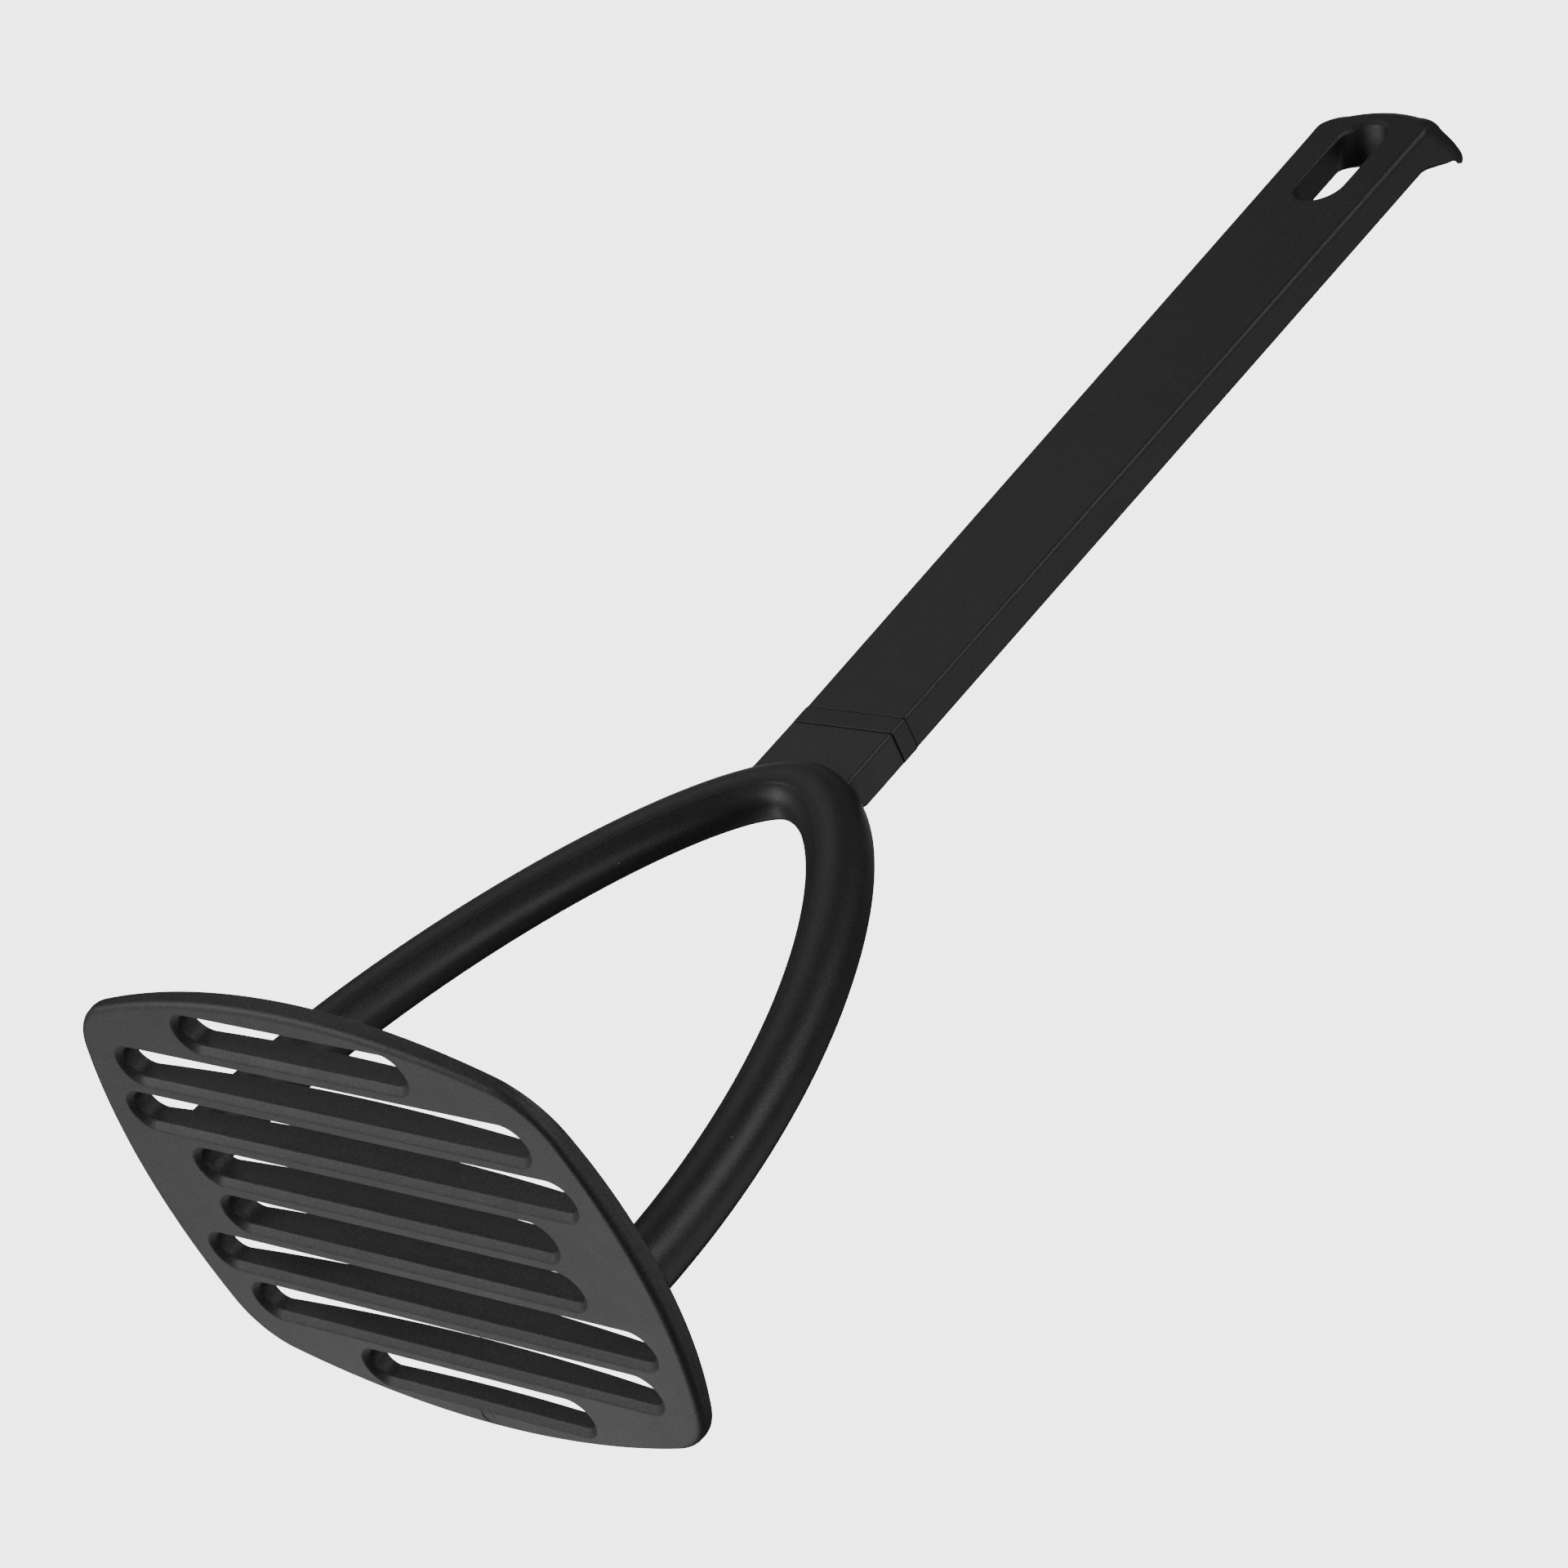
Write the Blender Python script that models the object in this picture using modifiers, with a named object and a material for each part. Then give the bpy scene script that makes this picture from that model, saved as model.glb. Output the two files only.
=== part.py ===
"""Potato masher: a slotted pressing plate on a wishbone yoke, a collar and a flat bar handle.

The working face lies on z = 0, the handle runs up along +Z and the slots run along X.
All lengths below are in millimetres and are turned into metres by MM.
"""
import math

import bmesh
import bpy
from mathutils import Matrix

MM = 0.001
GAP = 0.3                      # clearance between pieces that touch

# Pressing plate
PLATE_HALF_X = 50.0
PLATE_HALF_Y = 38.6
LONG_SIDE_RADIUS = 134.0       # the bulge of the two sides along X
SHORT_SIDE_RADIUS = 86.0       # the bulge of the two sides along Y
PLATE_CORNER_RADIUS = 12.5
RIM_HEIGHT = 3.1               # plate thickness at its edge
CROWN_RISE = 2.4               # how much the back swells above the rim at the centre
RIM_ROUND = 1.1

# Slots through the plate, counted outwards from the centre line
SLOT_PITCH = 9.05
SLOT_WIDTH = 5.4               # clear width, inside the chamfers
SLOT_CHAMFER = 1.0
SLOT_HALF_LENGTHS = (34.6, 42.9, 39.3, 21.8)

# Yoke: centre line in the XZ plane, section width across the leg and depth along Y
FOOT_X = 45.0
LEG_HANDLE = (46.5, 47.7)      # Bezier handle above each foot
CROWN_Z = 97.4
CROWN_HANDLE_X = 16.8          # Bezier handle beside the crown
LEG_WIDTH = 9.9
CROWN_SWELL = 1.13             # how much wider the section is at the crown than at the feet
CROWN_SLIM = 0.81              # how much the swollen crown is thinned again from front to back
CROWN_LEAN = 1.9               # how far the crown lies behind the feet
LEG_FRONT_Y = -3.7
LEG_BACK_Y = 3.4
LEG_BACK_ROUND = 1.9
LEG_SHOULDER_Y = 0.9           # where the straight sides of the section give way to its round front

# Foot peg and its blind socket in the plate
PEG_SIZE = 4.0
PEG_X = 45.2
PEG_BOTTOM = 2.05

# Neck, collar and tang, all centred on the handle's own line
BAR_Y = 4.1
NECK_WIDTH = 19.6
NECK_DEPTH = 5.8
NECK_BOTTOM = 96.0
NECK_TOP = 110.2
COLLAR_HEIGHT = 3.55
COLLAR_PROUD = 0.12
TANG_WIDTH = 12.0
TANG_DEPTH = 2.6
TANG_TOP = 136.0

# Handle
HANDLE_TOP = 274.0
HANDLE_WIDTH_LOW = 19.4
BAR_LEAN = 1.25                # how far the handle's top lies in front of its bottom
HANDLE_WIDTH_TOP = 22.8
HANDLE_DEPTH_TOP = 5.9
HANDLE_CORNER = 4.6
HANDLE_END_DOME = 0.9
EDGE_ROUND = 0.5

# End of the handle, seen from the side: a round nose in front and a hook lip behind
NOSE_RADIUS = 3.4
NOSE_DROP = 1.6                # the nose ends this far below the top
LIP_BACK_Y = 10.8
LIP_ROOT_Z = 261.4             # where the lip starts to leave the handle's back
LIP_TIP_DROP = 2.2             # how far the underside of the tip lies below the top

# Hanging slot
HANG_WIDTH = 8.8
HANG_LOW = 245.2
HANG_HIGH = 267.2
HANG_CHAMFER = 0.8

CROWN_STEPS = 56


# ---------------------------------------------------------------- scene helpers
def clear_scene():
    for old in list(bpy.data.objects):
        bpy.data.objects.remove(old, do_unlink=True)


def new_collection(name):
    group = bpy.data.collections.new(name)
    bpy.context.scene.collection.children.link(group)
    return group


def nylon(name, value, roughness):
    mat = bpy.data.materials.new(name)
    mat.use_nodes = True
    shader = mat.node_tree.nodes["Principled BSDF"]
    shader.inputs["Base Color"].default_value = (value, value, value, 1.0)
    shader.inputs["Roughness"].default_value = roughness
    shader.inputs["Metallic"].default_value = 0.0
    mat.diffuse_color = (value, value, value, 1.0)
    return mat


def plain_mesh(source, name, group):
    """Turn a curve or a modified object into a welded mesh object and drop the source."""
    depsgraph = bpy.context.evaluated_depsgraph_get()
    mesh = bpy.data.meshes.new_from_object(source.evaluated_get(depsgraph))
    work = bmesh.new()
    work.from_mesh(mesh)
    bmesh.ops.remove_doubles(work, verts=work.verts, dist=0.00001)
    bmesh.ops.recalc_face_normals(work, faces=work.faces)
    work.to_mesh(mesh)
    work.free()
    made = bpy.data.objects.new(name, mesh)
    made.matrix_world = source.matrix_world.copy()
    group.objects.link(made)
    bpy.data.objects.remove(source, do_unlink=True)
    bpy.context.view_layer.update()
    return made


def bake_matrix(made):
    """Write the object's own turn and scale into its mesh."""
    made.data.transform(made.matrix_world)
    made.matrix_world = Matrix.Identity(4)
    return made


def flat_curve(points, half_thickness, bevel=0.0, grow=0.0, bevel_steps=0):
    """A filled flat outline in the XY plane, thickened both ways along Z (millimetres)."""
    curve = bpy.data.curves.new("outline", "CURVE")
    curve.dimensions = "2D"
    curve.fill_mode = "BOTH"
    curve.extrude = (half_thickness - bevel) * MM
    curve.bevel_depth = bevel * MM
    curve.bevel_resolution = bevel_steps
    curve.offset = grow * MM
    line = curve.splines.new("POLY")
    line.points.add(len(points) - 1)
    for point, (x, y) in zip(line.points, points):
        point.co = (x * MM, y * MM, 0.0, 1.0)
    line.use_cyclic_u = True
    made = bpy.data.objects.new("outline", curve)
    bpy.context.scene.collection.objects.link(made)
    return made


def box(name, group, low, high):
    """A closed block between two corners (millimetres)."""
    mesh = bpy.data.meshes.new(name)
    work = bmesh.new()
    size = [(b - a) * MM for a, b in zip(low, high)]
    middle = [(a + b) / 2 * MM for a, b in zip(low, high)]
    place = Matrix.Translation(middle) @ Matrix.Diagonal((size[0], size[1], size[2], 1.0))
    bmesh.ops.create_cube(work, size=1.0, matrix=place)
    work.to_mesh(mesh)
    work.free()
    made = bpy.data.objects.new(name, mesh)
    group.objects.link(made)
    return made


def combine(target, other, operation):
    """Apply one exact Boolean to the target and keep its mesh."""
    step = target.modifiers.new("join", "BOOLEAN")
    step.operation = operation
    step.solver = "EXACT"
    step.object = other
    bpy.context.view_layer.update()
    depsgraph = bpy.context.evaluated_depsgraph_get()
    mesh = bpy.data.meshes.new_from_object(target.evaluated_get(depsgraph))
    target.modifiers.remove(step)
    old = target.data
    target.data = mesh
    bpy.data.meshes.remove(old)


def soften(target, width, steps, angle):
    """Round the sharp edges of a plain mesh object."""
    step = target.modifiers.new("soften", "BEVEL")
    step.width = width * MM
    step.segments = steps
    step.limit_method = "ANGLE"
    step.angle_limit = math.radians(angle)
    step.use_clamp_overlap = True
    bpy.context.view_layer.update()
    depsgraph = bpy.context.evaluated_depsgraph_get()
    mesh = bpy.data.meshes.new_from_object(target.evaluated_get(depsgraph))
    target.modifiers.remove(step)
    target.data = mesh


def finish(made, mat):
    made.data.materials.clear()
    made.data.materials.append(mat)
    for face in made.data.polygons:
        face.material_index = 0
    made.data.shade_smooth()
    made.data.set_sharp_from_angle(angle=math.radians(32))


# ---------------------------------------------------------------- outlines
def arc(centre, radius, start, end, count):
    """Points on an arc whose angles are measured from +Y towards +X."""
    points = []
    for i in range(count + 1):
        angle = start + (end - start) * i / count
        points.append((centre[0] + radius * math.sin(angle), centre[1] + radius * math.cos(angle)))
    return points


def circles_meet(first, first_radius, second, second_radius):
    """The meeting point of two circles that lies in the quarter x > 0, y > 0."""
    dx = second[0] - first[0]
    dy = second[1] - first[1]
    apart = math.hypot(dx, dy)
    along = (first_radius ** 2 - second_radius ** 2 + apart ** 2) / (2 * apart)
    across = math.sqrt(first_radius ** 2 - along ** 2)
    for side in (1, -1):
        x = first[0] + (dx * along - side * dy * across) / apart
        y = first[1] + (dy * along + side * dx * across) / apart
        if x > 0 and y > 0:
            return (x, y)
    return None


def plate_outline():
    """Four bulging sides joined by round corners; one quarter is drawn and mirrored."""
    long_centre = (0.0, PLATE_HALF_Y - LONG_SIDE_RADIUS)
    short_centre = (PLATE_HALF_X - SHORT_SIDE_RADIUS, 0.0)
    corner = circles_meet(
        long_centre, LONG_SIDE_RADIUS - PLATE_CORNER_RADIUS,
        short_centre, SHORT_SIDE_RADIUS - PLATE_CORNER_RADIUS)
    long_end = math.atan2(corner[0] - long_centre[0], corner[1] - long_centre[1])
    short_end = math.atan2(corner[0] - short_centre[0], corner[1] - short_centre[1])
    quarter = arc(long_centre, LONG_SIDE_RADIUS, 0.0, long_end, 7)
    quarter += arc(corner, PLATE_CORNER_RADIUS, long_end, short_end, 8)[1:]
    quarter += arc(short_centre, SHORT_SIDE_RADIUS, short_end, math.pi / 2, 6)[1:]
    lower = [(x, -y) for x, y in reversed(quarter[:-1])]
    right = quarter + lower
    left = [(-x, y) for x, y in reversed(right[1:-1])]
    return right + left


def stadium(centre, half_length, half_width, count, upright=False):
    """A straight slot with round ends."""
    reach = half_length - half_width
    points = arc((reach, 0.0), half_width, 0.0, math.pi, count)
    points += arc((-reach, 0.0), half_width, math.pi, 2 * math.pi, count)
    if upright:
        return [(centre[0] + y, centre[1] - x) for x, y in points]
    return [(centre[0] + x, centre[1] + y) for x, y in points]


def handle_width_at(z):
    """Width of the handle at a height."""
    low = NECK_TOP + COLLAR_HEIGHT
    share = (z - low) / (HANDLE_TOP - low)
    return HANDLE_WIDTH_LOW + (HANDLE_WIDTH_TOP - HANDLE_WIDTH_LOW) * share


def handle_front_outline(bottom):
    """The handle seen from the front: x across, z up."""
    half_low = handle_width_at(bottom) / 2
    half_top = HANDLE_WIDTH_TOP / 2
    shoulder = HANDLE_TOP - HANDLE_END_DOME - HANDLE_CORNER
    right = [(half_low, bottom), (half_top, shoulder)]
    right += [(half_top - HANDLE_CORNER + x, shoulder + y)
              for x, y in reversed(arc((0.0, 0.0), HANDLE_CORNER, 0.0, math.pi / 2, 7)[1:-1])]
    inner = half_top - HANDLE_CORNER
    for i in range(5):
        x = inner * (1 - i / 4)
        right.append((x, HANDLE_TOP - HANDLE_END_DOME * (x / inner) ** 2))
    left = [(-x, z) for x, z in reversed(right[:-1])]
    return right + left


def handle_side_outline(bottom):
    """The handle seen from the side: y across, z up, with the hook lip at the back."""
    front_low = BAR_Y - NECK_DEPTH / 2
    back_low = BAR_Y + NECK_DEPTH / 2
    front_top = BAR_Y - BAR_LEAN - HANDLE_DEPTH_TOP / 2
    back_top = BAR_Y - BAR_LEAN + HANDLE_DEPTH_TOP / 2
    nose_z = HANDLE_TOP - NOSE_DROP - NOSE_RADIUS
    points = [(front_low, bottom), (front_top, nose_z)]
    nose = arc((0.0, 0.0), NOSE_RADIUS, 0.0, math.pi / 2, 5)
    points += [(front_top + NOSE_RADIUS - x, nose_z + y) for x, y in nose[::-1][1:]]
    points.append((LIP_BACK_Y - 1.0, HANDLE_TOP))
    points.append((LIP_BACK_Y - 0.2, HANDLE_TOP - 0.4))
    points.append((LIP_BACK_Y, HANDLE_TOP - 1.2))
    points.append((LIP_BACK_Y - 0.4, HANDLE_TOP - LIP_TIP_DROP + 0.2))
    sweep_y = LIP_BACK_Y - 0.8 - back_top
    sweep_z = HANDLE_TOP - LIP_TIP_DROP - LIP_ROOT_Z
    for i in range(6):
        share = 1 - i / 5
        points.append((back_top + sweep_y * share ** 1.15, LIP_ROOT_Z + sweep_z * share))
    points.append((back_low, bottom))
    return points


def leg_section():
    """Section of the yoke: width across the leg, a flat back and a rounded front."""
    half = LEG_WIDTH / 2
    points = []
    for i in range(13):
        angle = math.pi * i / 12
        points.append((half * math.cos(angle),
                       LEG_SHOULDER_Y - (LEG_SHOULDER_Y - LEG_FRONT_Y) * math.sin(angle)))
    corner = LEG_BACK_ROUND
    for i in range(4):
        angle = math.pi / 2 * i / 3
        points.append((-half + corner * (1 - math.cos(angle)),
                       LEG_BACK_Y - corner + corner * math.sin(angle)))
    for i in range(4):
        angle = math.pi / 2 * i / 3
        points.append((half - corner * (1 - math.sin(angle)),
                       LEG_BACK_Y - corner + corner * math.cos(angle)))
    return points


# ---------------------------------------------------------------- pieces
def crown_body(name, group, lift):
    """A shallow domed block: everything below the plate's back surface, raised by lift."""
    reach = 1.25               # the dome runs a little past the plate's corners
    rings = 10
    below = -6.0
    rows = []
    for i in range(rings + 1):
        share = reach * i / rings
        rows.append((PLATE_HALF_X * share, RIM_HEIGHT + CROWN_RISE * (1 - share ** 2) + lift))
    rows.append((PLATE_HALF_X * reach, below))
    rows.append((0.0, below))
    mesh = bpy.data.meshes.new(name)
    corners = [(x * MM, 0.0, z * MM) for x, z in rows]
    mesh.from_pydata(corners, [(i, i + 1) for i in range(len(rows) - 1)], [])
    lathe = bpy.data.objects.new(name, mesh)
    bpy.context.scene.collection.objects.link(lathe)
    turn = lathe.modifiers.new("turn", "SCREW")
    turn.axis = "Z"
    turn.steps = CROWN_STEPS
    turn.render_steps = CROWN_STEPS
    turn.use_merge_vertices = True
    turn.merge_threshold = 0.00001
    lathe.scale = (1.0, PLATE_HALF_Y / PLATE_HALF_X, 1.0)
    bpy.context.view_layer.update()
    return bake_matrix(plain_mesh(lathe, name, group))


def slot_rows():
    """(y, half length) of every slot."""
    rows = []
    for index, half_length in enumerate(SLOT_HALF_LENGTHS):
        y = (index + 0.5) * SLOT_PITCH
        rows.append((y, half_length))
        rows.append((-y, half_length))
    return rows


def make_plate(group, cutters, mat):
    height = RIM_HEIGHT + CROWN_RISE + 1.0
    blank = flat_curve(plate_outline(), height / 2, bevel=RIM_ROUND, grow=-RIM_ROUND, bevel_steps=2)
    blank.location.z = height / 2 * MM
    bpy.context.view_layer.update()
    plate = bake_matrix(plain_mesh(blank, "press_plate", group))
    crown = crown_body("cut_crown", cutters, 0.0)
    combine(plate, crown, "INTERSECT")
    for number, (y, half_length) in enumerate(slot_rows()):
        outline = stadium((0.0, y), half_length, SLOT_WIDTH / 2, 8)
        through = bake_matrix(plain_mesh(flat_curve(outline, 12.0), f"cut_slot_{number}", cutters))
        combine(plate, through, "DIFFERENCE")
        mouth = flat_curve(outline, SLOT_CHAMFER, bevel=SLOT_CHAMFER)
        mouth = bake_matrix(plain_mesh(mouth, f"cut_mouth_{number}", cutters))
        combine(plate, mouth, "DIFFERENCE")
    half = PEG_SIZE / 2 + GAP
    middle = (LEG_FRONT_Y + LEG_BACK_Y) / 2
    for side in (-1, 1):
        low = (side * PEG_X - half, middle - half, PEG_BOTTOM - GAP)
        high = (side * PEG_X + half, middle + half, 9.0)
        socket = box(f"cut_socket_{'left' if side < 0 else 'right'}", cutters, low, high)
        combine(plate, socket, "DIFFERENCE")
    finish(plate, mat)
    return plate


def arch_curve():
    """The wishbone centre line as a Bezier curve, swept with the leg section."""
    profile_data = bpy.data.curves.new("leg_section", "CURVE")
    profile_data.dimensions = "2D"
    outline = leg_section()
    line = profile_data.splines.new("POLY")
    line.points.add(len(outline) - 1)
    for point, (across, depth) in zip(line.points, outline):
        point.co = (depth * MM, across * MM, 0.0, 1.0)
    line.use_cyclic_u = True
    profile = bpy.data.objects.new("leg_section", profile_data)
    bpy.context.scene.collection.objects.link(profile)

    path = bpy.data.curves.new("wishbone", "CURVE")
    path.dimensions = "3D"
    path.twist_mode = "MINIMUM"
    path.resolution_u = 14
    path.bevel_mode = "OBJECT"
    path.bevel_object = profile
    path.use_fill_caps = True
    spline = path.splines.new("BEZIER")
    spline.bezier_points.add(2)
    knots = (
        ((-FOOT_X, 0.0), (-FOOT_X, -20.0), (-LEG_HANDLE[0], LEG_HANDLE[1]), 1.0),
        ((0.0, CROWN_Z), (-CROWN_HANDLE_X, CROWN_Z), (CROWN_HANDLE_X, CROWN_Z), CROWN_SWELL),
        ((FOOT_X, 0.0), (LEG_HANDLE[0], LEG_HANDLE[1]), (FOOT_X, -20.0), 1.0),
    )
    for knot, (place, before, after, swell) in zip(spline.bezier_points, knots):
        knot.radius = swell
        knot.handle_left_type = "FREE"
        knot.handle_right_type = "FREE"
        knot.co = (place[0] * MM, 0.0, place[1] * MM)
        knot.handle_left = (before[0] * MM, 0.0, before[1] * MM)
        knot.handle_right = (after[0] * MM, 0.0, after[1] * MM)
    arch = bpy.data.objects.new("wishbone", path)
    bpy.context.scene.collection.objects.link(arch)
    bpy.context.view_layer.update()
    return arch, profile


def lean_yoke(yoke):
    """Thin the section from front to back towards the crown and lean the crown back."""
    middle = (LEG_FRONT_Y + LEG_BACK_Y) / 2 * MM
    for vert in yoke.data.vertices:
        share = min(max(vert.co.z / (CROWN_Z * MM), 0.0), 1.0)
        slim = 1.0 + (CROWN_SLIM - 1.0) * share
        vert.co.y = middle + (vert.co.y - middle) * slim + CROWN_LEAN * share * MM


def make_yoke(group, cutters, mat):
    arch, profile = arch_curve()
    yoke = bake_matrix(plain_mesh(arch, "yoke", group))
    bpy.data.objects.remove(profile, do_unlink=True)
    lean_yoke(yoke)
    crown = crown_body("cut_foot", cutters, GAP)
    combine(yoke, crown, "DIFFERENCE")
    half_width = NECK_WIDTH / 2
    half_depth = NECK_DEPTH / 2
    neck = box("neck", cutters, (-half_width, BAR_Y - half_depth, NECK_BOTTOM),
               (half_width, BAR_Y + half_depth, NECK_TOP - GAP / 2))
    soften(neck, EDGE_ROUND, 2, 30)
    combine(yoke, neck, "UNION")
    tang = box("tang", cutters, (-TANG_WIDTH / 2, BAR_Y - TANG_DEPTH / 2, NECK_BOTTOM + 4.0),
               (TANG_WIDTH / 2, BAR_Y + TANG_DEPTH / 2, TANG_TOP))
    combine(yoke, tang, "UNION")
    half = PEG_SIZE / 2
    middle = (LEG_FRONT_Y + LEG_BACK_Y) / 2
    for side in (-1, 1):
        low = (side * PEG_X - half, middle - half, PEG_BOTTOM)
        high = (side * PEG_X + half, middle + half, 8.0)
        peg = box(f"peg_{'left' if side < 0 else 'right'}", cutters, low, high)
        combine(yoke, peg, "UNION")
    finish(yoke, mat)
    return yoke


def make_collar(group, cutters, mat):
    low = NECK_TOP + GAP / 2
    high = NECK_TOP + COLLAR_HEIGHT - GAP / 2
    half_width = NECK_WIDTH / 2 + COLLAR_PROUD
    half_depth = NECK_DEPTH / 2 + COLLAR_PROUD
    collar = box("joint_collar", group, (-half_width, BAR_Y - half_depth, low),
                 (half_width, BAR_Y + half_depth, high))
    soften(collar, EDGE_ROUND, 2, 30)
    bore = box("cut_bore", cutters,
               (-TANG_WIDTH / 2 - GAP, BAR_Y - TANG_DEPTH / 2 - GAP, low - 5.0),
               (TANG_WIDTH / 2 + GAP, BAR_Y + TANG_DEPTH / 2 + GAP, high + 5.0))
    combine(collar, bore, "DIFFERENCE")
    finish(collar, mat)
    return collar


def make_handle(group, cutters, mat):
    bottom = NECK_TOP + COLLAR_HEIGHT + GAP / 2
    front = flat_curve(handle_front_outline(bottom), 20.0)
    front.rotation_euler = (math.pi / 2, 0.0, 0.0)
    bpy.context.view_layer.update()
    handle = bake_matrix(plain_mesh(front, "handle", group))
    side = flat_curve(handle_side_outline(bottom), 20.0)
    side.matrix_world = Matrix(((0, 0, 1, 0), (1, 0, 0, 0), (0, 1, 0, 0), (0, 0, 0, 1)))
    bpy.context.view_layer.update()
    side = bake_matrix(plain_mesh(side, "cut_side", cutters))
    combine(handle, side, "INTERSECT")
    soften(handle, EDGE_ROUND, 2, 40)
    middle = (HANG_LOW + HANG_HIGH) / 2
    outline = stadium((0.0, middle), (HANG_HIGH - HANG_LOW) / 2, HANG_WIDTH / 2, 8, upright=True)
    through = flat_curve(outline, 20.0)
    through.rotation_euler = (math.pi / 2, 0.0, 0.0)
    bpy.context.view_layer.update()
    through = bake_matrix(plain_mesh(through, "cut_hang", cutters))
    combine(handle, through, "DIFFERENCE")
    mouth = flat_curve(outline, HANG_CHAMFER, bevel=HANG_CHAMFER)
    mouth.rotation_euler = (math.pi / 2, 0.0, 0.0)
    mouth.location.y = (BAR_Y - BAR_LEAN - HANDLE_DEPTH_TOP / 2 - 0.05) * MM
    bpy.context.view_layer.update()
    mouth = bake_matrix(plain_mesh(mouth, "cut_hang_mouth", cutters))
    combine(handle, mouth, "DIFFERENCE")
    socket = box("cut_tang_socket", cutters,
                 (-TANG_WIDTH / 2 - GAP, BAR_Y - TANG_DEPTH / 2 - GAP, bottom - 5.0),
                 (TANG_WIDTH / 2 + GAP, BAR_Y + TANG_DEPTH / 2 + GAP, TANG_TOP + GAP))
    combine(handle, socket, "DIFFERENCE")
    finish(handle, mat)
    return handle


def main():
    clear_scene()
    group = new_collection("potato_masher")
    cutters = new_collection("cutters")
    matte = nylon("matte_nylon", 0.035, 0.55)
    satin = nylon("satin_nylon", 0.03, 0.5)
    root = bpy.data.objects.new("masher", None)
    group.objects.link(root)
    pieces = [
        make_plate(group, cutters, matte),
        make_yoke(group, cutters, satin),
        make_collar(group, cutters, satin),
        make_handle(group, cutters, satin),
    ]
    for piece in pieces:
        piece.parent = root
    for cutter in cutters.objects:
        cutter.hide_render = True
        cutter.display_type = "WIRE"
    for piece in pieces:
        print(piece.name, "faces", len(piece.data.polygons))


main()
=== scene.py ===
# %% [markdown]
# # A black nylon potato masher, built around its CAD frame
#
# The real object is moulded in black glass-filled nylon. It has four pieces: a slotted pressing plate,
# a wishbone yoke that stands on the plate's two ends, a thin collar and a flat bar handle.
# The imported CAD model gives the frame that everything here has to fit. Each CAD node is replaced by a
# finer piece of nearly the same size, with the roundings, mould lines and grain that a real moulding has.
# Lengths are written in millimetres and turned into metres by MM when a mesh is made.

# %% Load the frame and keep its size
import math

import bmesh
import bpy
import numpy as np
from mathutils import Matrix, Quaternion, Vector


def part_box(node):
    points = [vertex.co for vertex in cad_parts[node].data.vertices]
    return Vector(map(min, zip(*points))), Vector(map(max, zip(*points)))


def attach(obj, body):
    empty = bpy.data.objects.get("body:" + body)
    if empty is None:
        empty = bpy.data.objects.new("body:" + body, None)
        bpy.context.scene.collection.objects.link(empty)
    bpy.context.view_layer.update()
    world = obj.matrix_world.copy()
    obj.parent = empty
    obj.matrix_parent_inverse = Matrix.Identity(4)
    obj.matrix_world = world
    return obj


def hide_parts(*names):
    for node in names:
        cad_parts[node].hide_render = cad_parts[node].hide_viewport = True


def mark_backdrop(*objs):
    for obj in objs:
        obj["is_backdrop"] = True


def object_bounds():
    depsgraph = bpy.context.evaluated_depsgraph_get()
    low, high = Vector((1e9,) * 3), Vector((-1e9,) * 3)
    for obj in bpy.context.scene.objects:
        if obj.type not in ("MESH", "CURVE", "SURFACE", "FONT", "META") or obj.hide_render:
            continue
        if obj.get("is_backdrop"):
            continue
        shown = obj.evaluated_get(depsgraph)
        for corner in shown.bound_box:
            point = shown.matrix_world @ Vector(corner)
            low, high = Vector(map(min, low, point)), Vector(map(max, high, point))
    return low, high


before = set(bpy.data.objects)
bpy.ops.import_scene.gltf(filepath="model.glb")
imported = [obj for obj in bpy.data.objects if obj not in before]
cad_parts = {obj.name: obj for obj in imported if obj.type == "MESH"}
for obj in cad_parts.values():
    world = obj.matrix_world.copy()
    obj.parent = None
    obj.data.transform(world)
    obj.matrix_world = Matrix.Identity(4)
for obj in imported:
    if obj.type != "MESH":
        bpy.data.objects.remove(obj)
cad_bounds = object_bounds()
MM = 0.001
for node in sorted(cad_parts):
    low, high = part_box(node)
    print(node, "from", [round(v * 1000, 1) for v in low], "to", [round(v * 1000, 1) for v in high])

# %% [markdown]
# ## Small tools
#
# Most pieces here are lofts: a stack of closed rings, each a little different from the last, joined by
# faces and closed at both ends. A loft gives even rows of faces, so roundings shade smoothly.
# Cuts and joins are done with exact Booleans, because they keep the crisp meeting line of two surfaces.


# %% Tools that make, bake, cut and finish meshes
def link(obj):
    bpy.context.scene.collection.objects.link(obj)
    return obj


def loft(name, rings):
    """Join rings of equal length, given in millimetres, and close both ends."""
    count = len(rings[0])
    verts = [tuple(c * MM for c in point) for ring in rings for point in ring]
    faces = []
    for level in range(len(rings) - 1):
        base = level * count
        for i in range(count):
            j = (i + 1) % count
            faces.append((base + i, base + j, base + count + j, base + count + i))
    faces.append(tuple(reversed(range(count))))
    faces.append(tuple(range((len(rings) - 1) * count, len(rings) * count)))
    mesh = bpy.data.meshes.new(name)
    mesh.from_pydata(verts, [], faces)
    tidy_mesh(mesh)
    return link(bpy.data.objects.new(name, mesh))


def tidy_mesh(mesh, weld=0.000002):
    """Weld doubled corners and turn every face outwards."""
    work = bmesh.new()
    work.from_mesh(mesh)
    bmesh.ops.remove_doubles(work, verts=work.verts, dist=weld)
    bmesh.ops.dissolve_degenerate(work, edges=work.edges, dist=weld)
    bmesh.ops.recalc_face_normals(work, faces=work.faces)
    work.to_mesh(mesh)
    work.free()


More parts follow.
